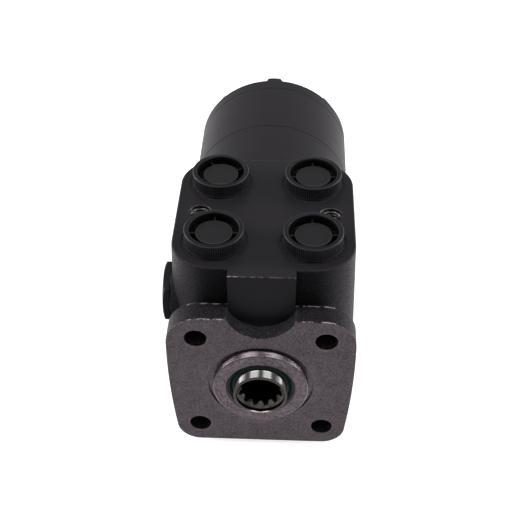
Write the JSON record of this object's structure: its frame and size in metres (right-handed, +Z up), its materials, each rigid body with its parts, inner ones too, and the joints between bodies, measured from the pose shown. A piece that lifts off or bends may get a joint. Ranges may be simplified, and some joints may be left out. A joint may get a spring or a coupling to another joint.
{
  "type": "orbital steering unit",
  "caption": "Hydraulic orbital steering unit: square mounting flange, splined input nose, capped ports on a raised face, rotary valve and gerotor set in a long round body.",
  "frame": {"origin": "centre of the column mount's bolt square, on the mounting face", "axes": "+Y rearwards along the valve axis, +Z up to the port face, +X to the right seen from the column"},
  "size_m": [0.0901, 0.2122, 0.1108],
  "materials": {
    "housing_paint": "black paint on rough cast iron, bare machined mounting face",
    "painted_steel": "black paint on machined steel",
    "wiper_green": "green moulded polymer wiper",
    "seal_rubber": "black nitrile rubber",
    "steel": "ground and hardened steel",
    "polished_steel": "turned and polished steel",
    "spring_steel": "blued spring steel",
    "copper_washer": "copper sealing washer",
    "cap_plastic": "black moulded plastic"
  },
  "bodies": {
    "root": {"housing": "housing_paint", "dust_seal": "wiper_green", "shaft_seal": "seal_rubber", "bearing_race_front": "steel", "distributor_plate": "painted_steel", "gear_ring": "painted_steel", "end_cover": "painted_steel", "plate_o_ring": "seal_rubber", "ring_o_ring": "seal_rubber", "cover_o_ring": "seal_rubber", "cover_screws": "painted_steel", "screw_washers": "copper_washer", "check_bush": "steel", "side_plug": "painted_steel", "plug_washer": "copper_washer", "relief_seat": "steel", "relief_spring": "spring_steel"},
    "sleeve_set": {"sleeve": "steel", "bearing_race_rear": "steel", "spring_ring": "steel", "cross_pin": "steel", "centring_springs": "spring_steel"},
    "spool_body": {"spool": "polished_steel"},
    "needle_bearing": {"needle_cage": "steel", "bearing_needles": "steel"},
    "orbit_spacer": {"spacer": "steel"},
    "rotor_body": {"rotor": "steel"},
    "cardan_body": {"cardan_shaft": "steel"},
    "check_ball_body": {"check_ball": "steel"},
    "relief_poppet_body": {"relief_poppet": "steel"},
    "cap_front_left": {"port_cap_front_left": "cap_plastic"},
    "cap_front_right": {"port_cap_front_right": "cap_plastic"},
    "cap_rear_left": {"port_cap_rear_left": "cap_plastic"},
    "cap_rear_right": {"port_cap_rear_right": "cap_plastic"}
  },
  "joints": [
    {"name": "sleeve_turn", "type": "hinge", "parent": "root", "child": "sleeve_set", "pos_m": [0, 0.06, 0], "axis": [0, 1, 0], "continuous": true},
    {"name": "spool_turn", "type": "hinge", "parent": "sleeve_set", "child": "spool_body", "pos_m": [0, 0.06, 0], "axis": [0, 1, 0], "range_deg": [-10, 10], "stiffness_Nm_per_rad": 1.5, "deforming": ["centring_springs"]},
    {"name": "cage_turn", "type": "hinge", "parent": "root", "child": "needle_bearing", "pos_m": [0, 0.01464, 0], "axis": [0, 1, 0], "continuous": true},
    {"name": "rotor_orbit", "type": "hinge", "parent": "root", "child": "orbit_spacer", "pos_m": [0, 0.17055, 0], "axis": [0, 1, 0], "continuous": true},
    {"name": "rotor_spin", "type": "hinge", "parent": "orbit_spacer", "child": "rotor_body", "pos_m": [0, 0.17055, -0.0032], "axis": [0, 1, 0], "continuous": true},
    {"name": "cardan_spin", "type": "hinge", "parent": "orbit_spacer", "child": "cardan_body", "pos_m": [0, 0.044, 0], "axis": [0, 0.9997, -0.0253], "continuous": true},
    {"name": "check_ball_lift", "type": "slide", "parent": "root", "child": "check_ball_body", "axis": [0, 0, 1], "range_m": [0, 0.0019]},
    {"name": "relief_lift", "type": "slide", "parent": "root", "child": "relief_poppet_body", "axis": [-1, 0, 0], "range_m": [0, 0.0015], "stiffness_N_per_m": 200, "springref_m": -0.003, "deforming": ["relief_spring"]},
    {"name": "cap_front_left_lift", "type": "slide", "parent": "root", "child": "cap_front_left", "axis": [0, 0, 1], "range_m": [0, 0.06]},
    {"name": "cap_front_right_lift", "type": "slide", "parent": "root", "child": "cap_front_right", "axis": [0, 0, 1], "range_m": [0, 0.06]},
    {"name": "cap_rear_left_lift", "type": "slide", "parent": "root", "child": "cap_rear_left", "axis": [0, 0, 1], "range_m": [0, 0.06]},
    {"name": "cap_rear_right_lift", "type": "slide", "parent": "root", "child": "cap_rear_right", "axis": [0, 0, 1], "range_m": [0, 0.06]}
  ],
  "couplings": [
    {"joint": "cage_turn", "follows": "sleeve_turn", "ratio": 0.5},
    {"joint": "rotor_orbit", "follows": "sleeve_turn", "ratio": -6},
    {"joint": "rotor_spin", "follows": "sleeve_turn", "ratio": 7},
    {"joint": "cardan_spin", "follows": "sleeve_turn", "ratio": 7}
  ]
}
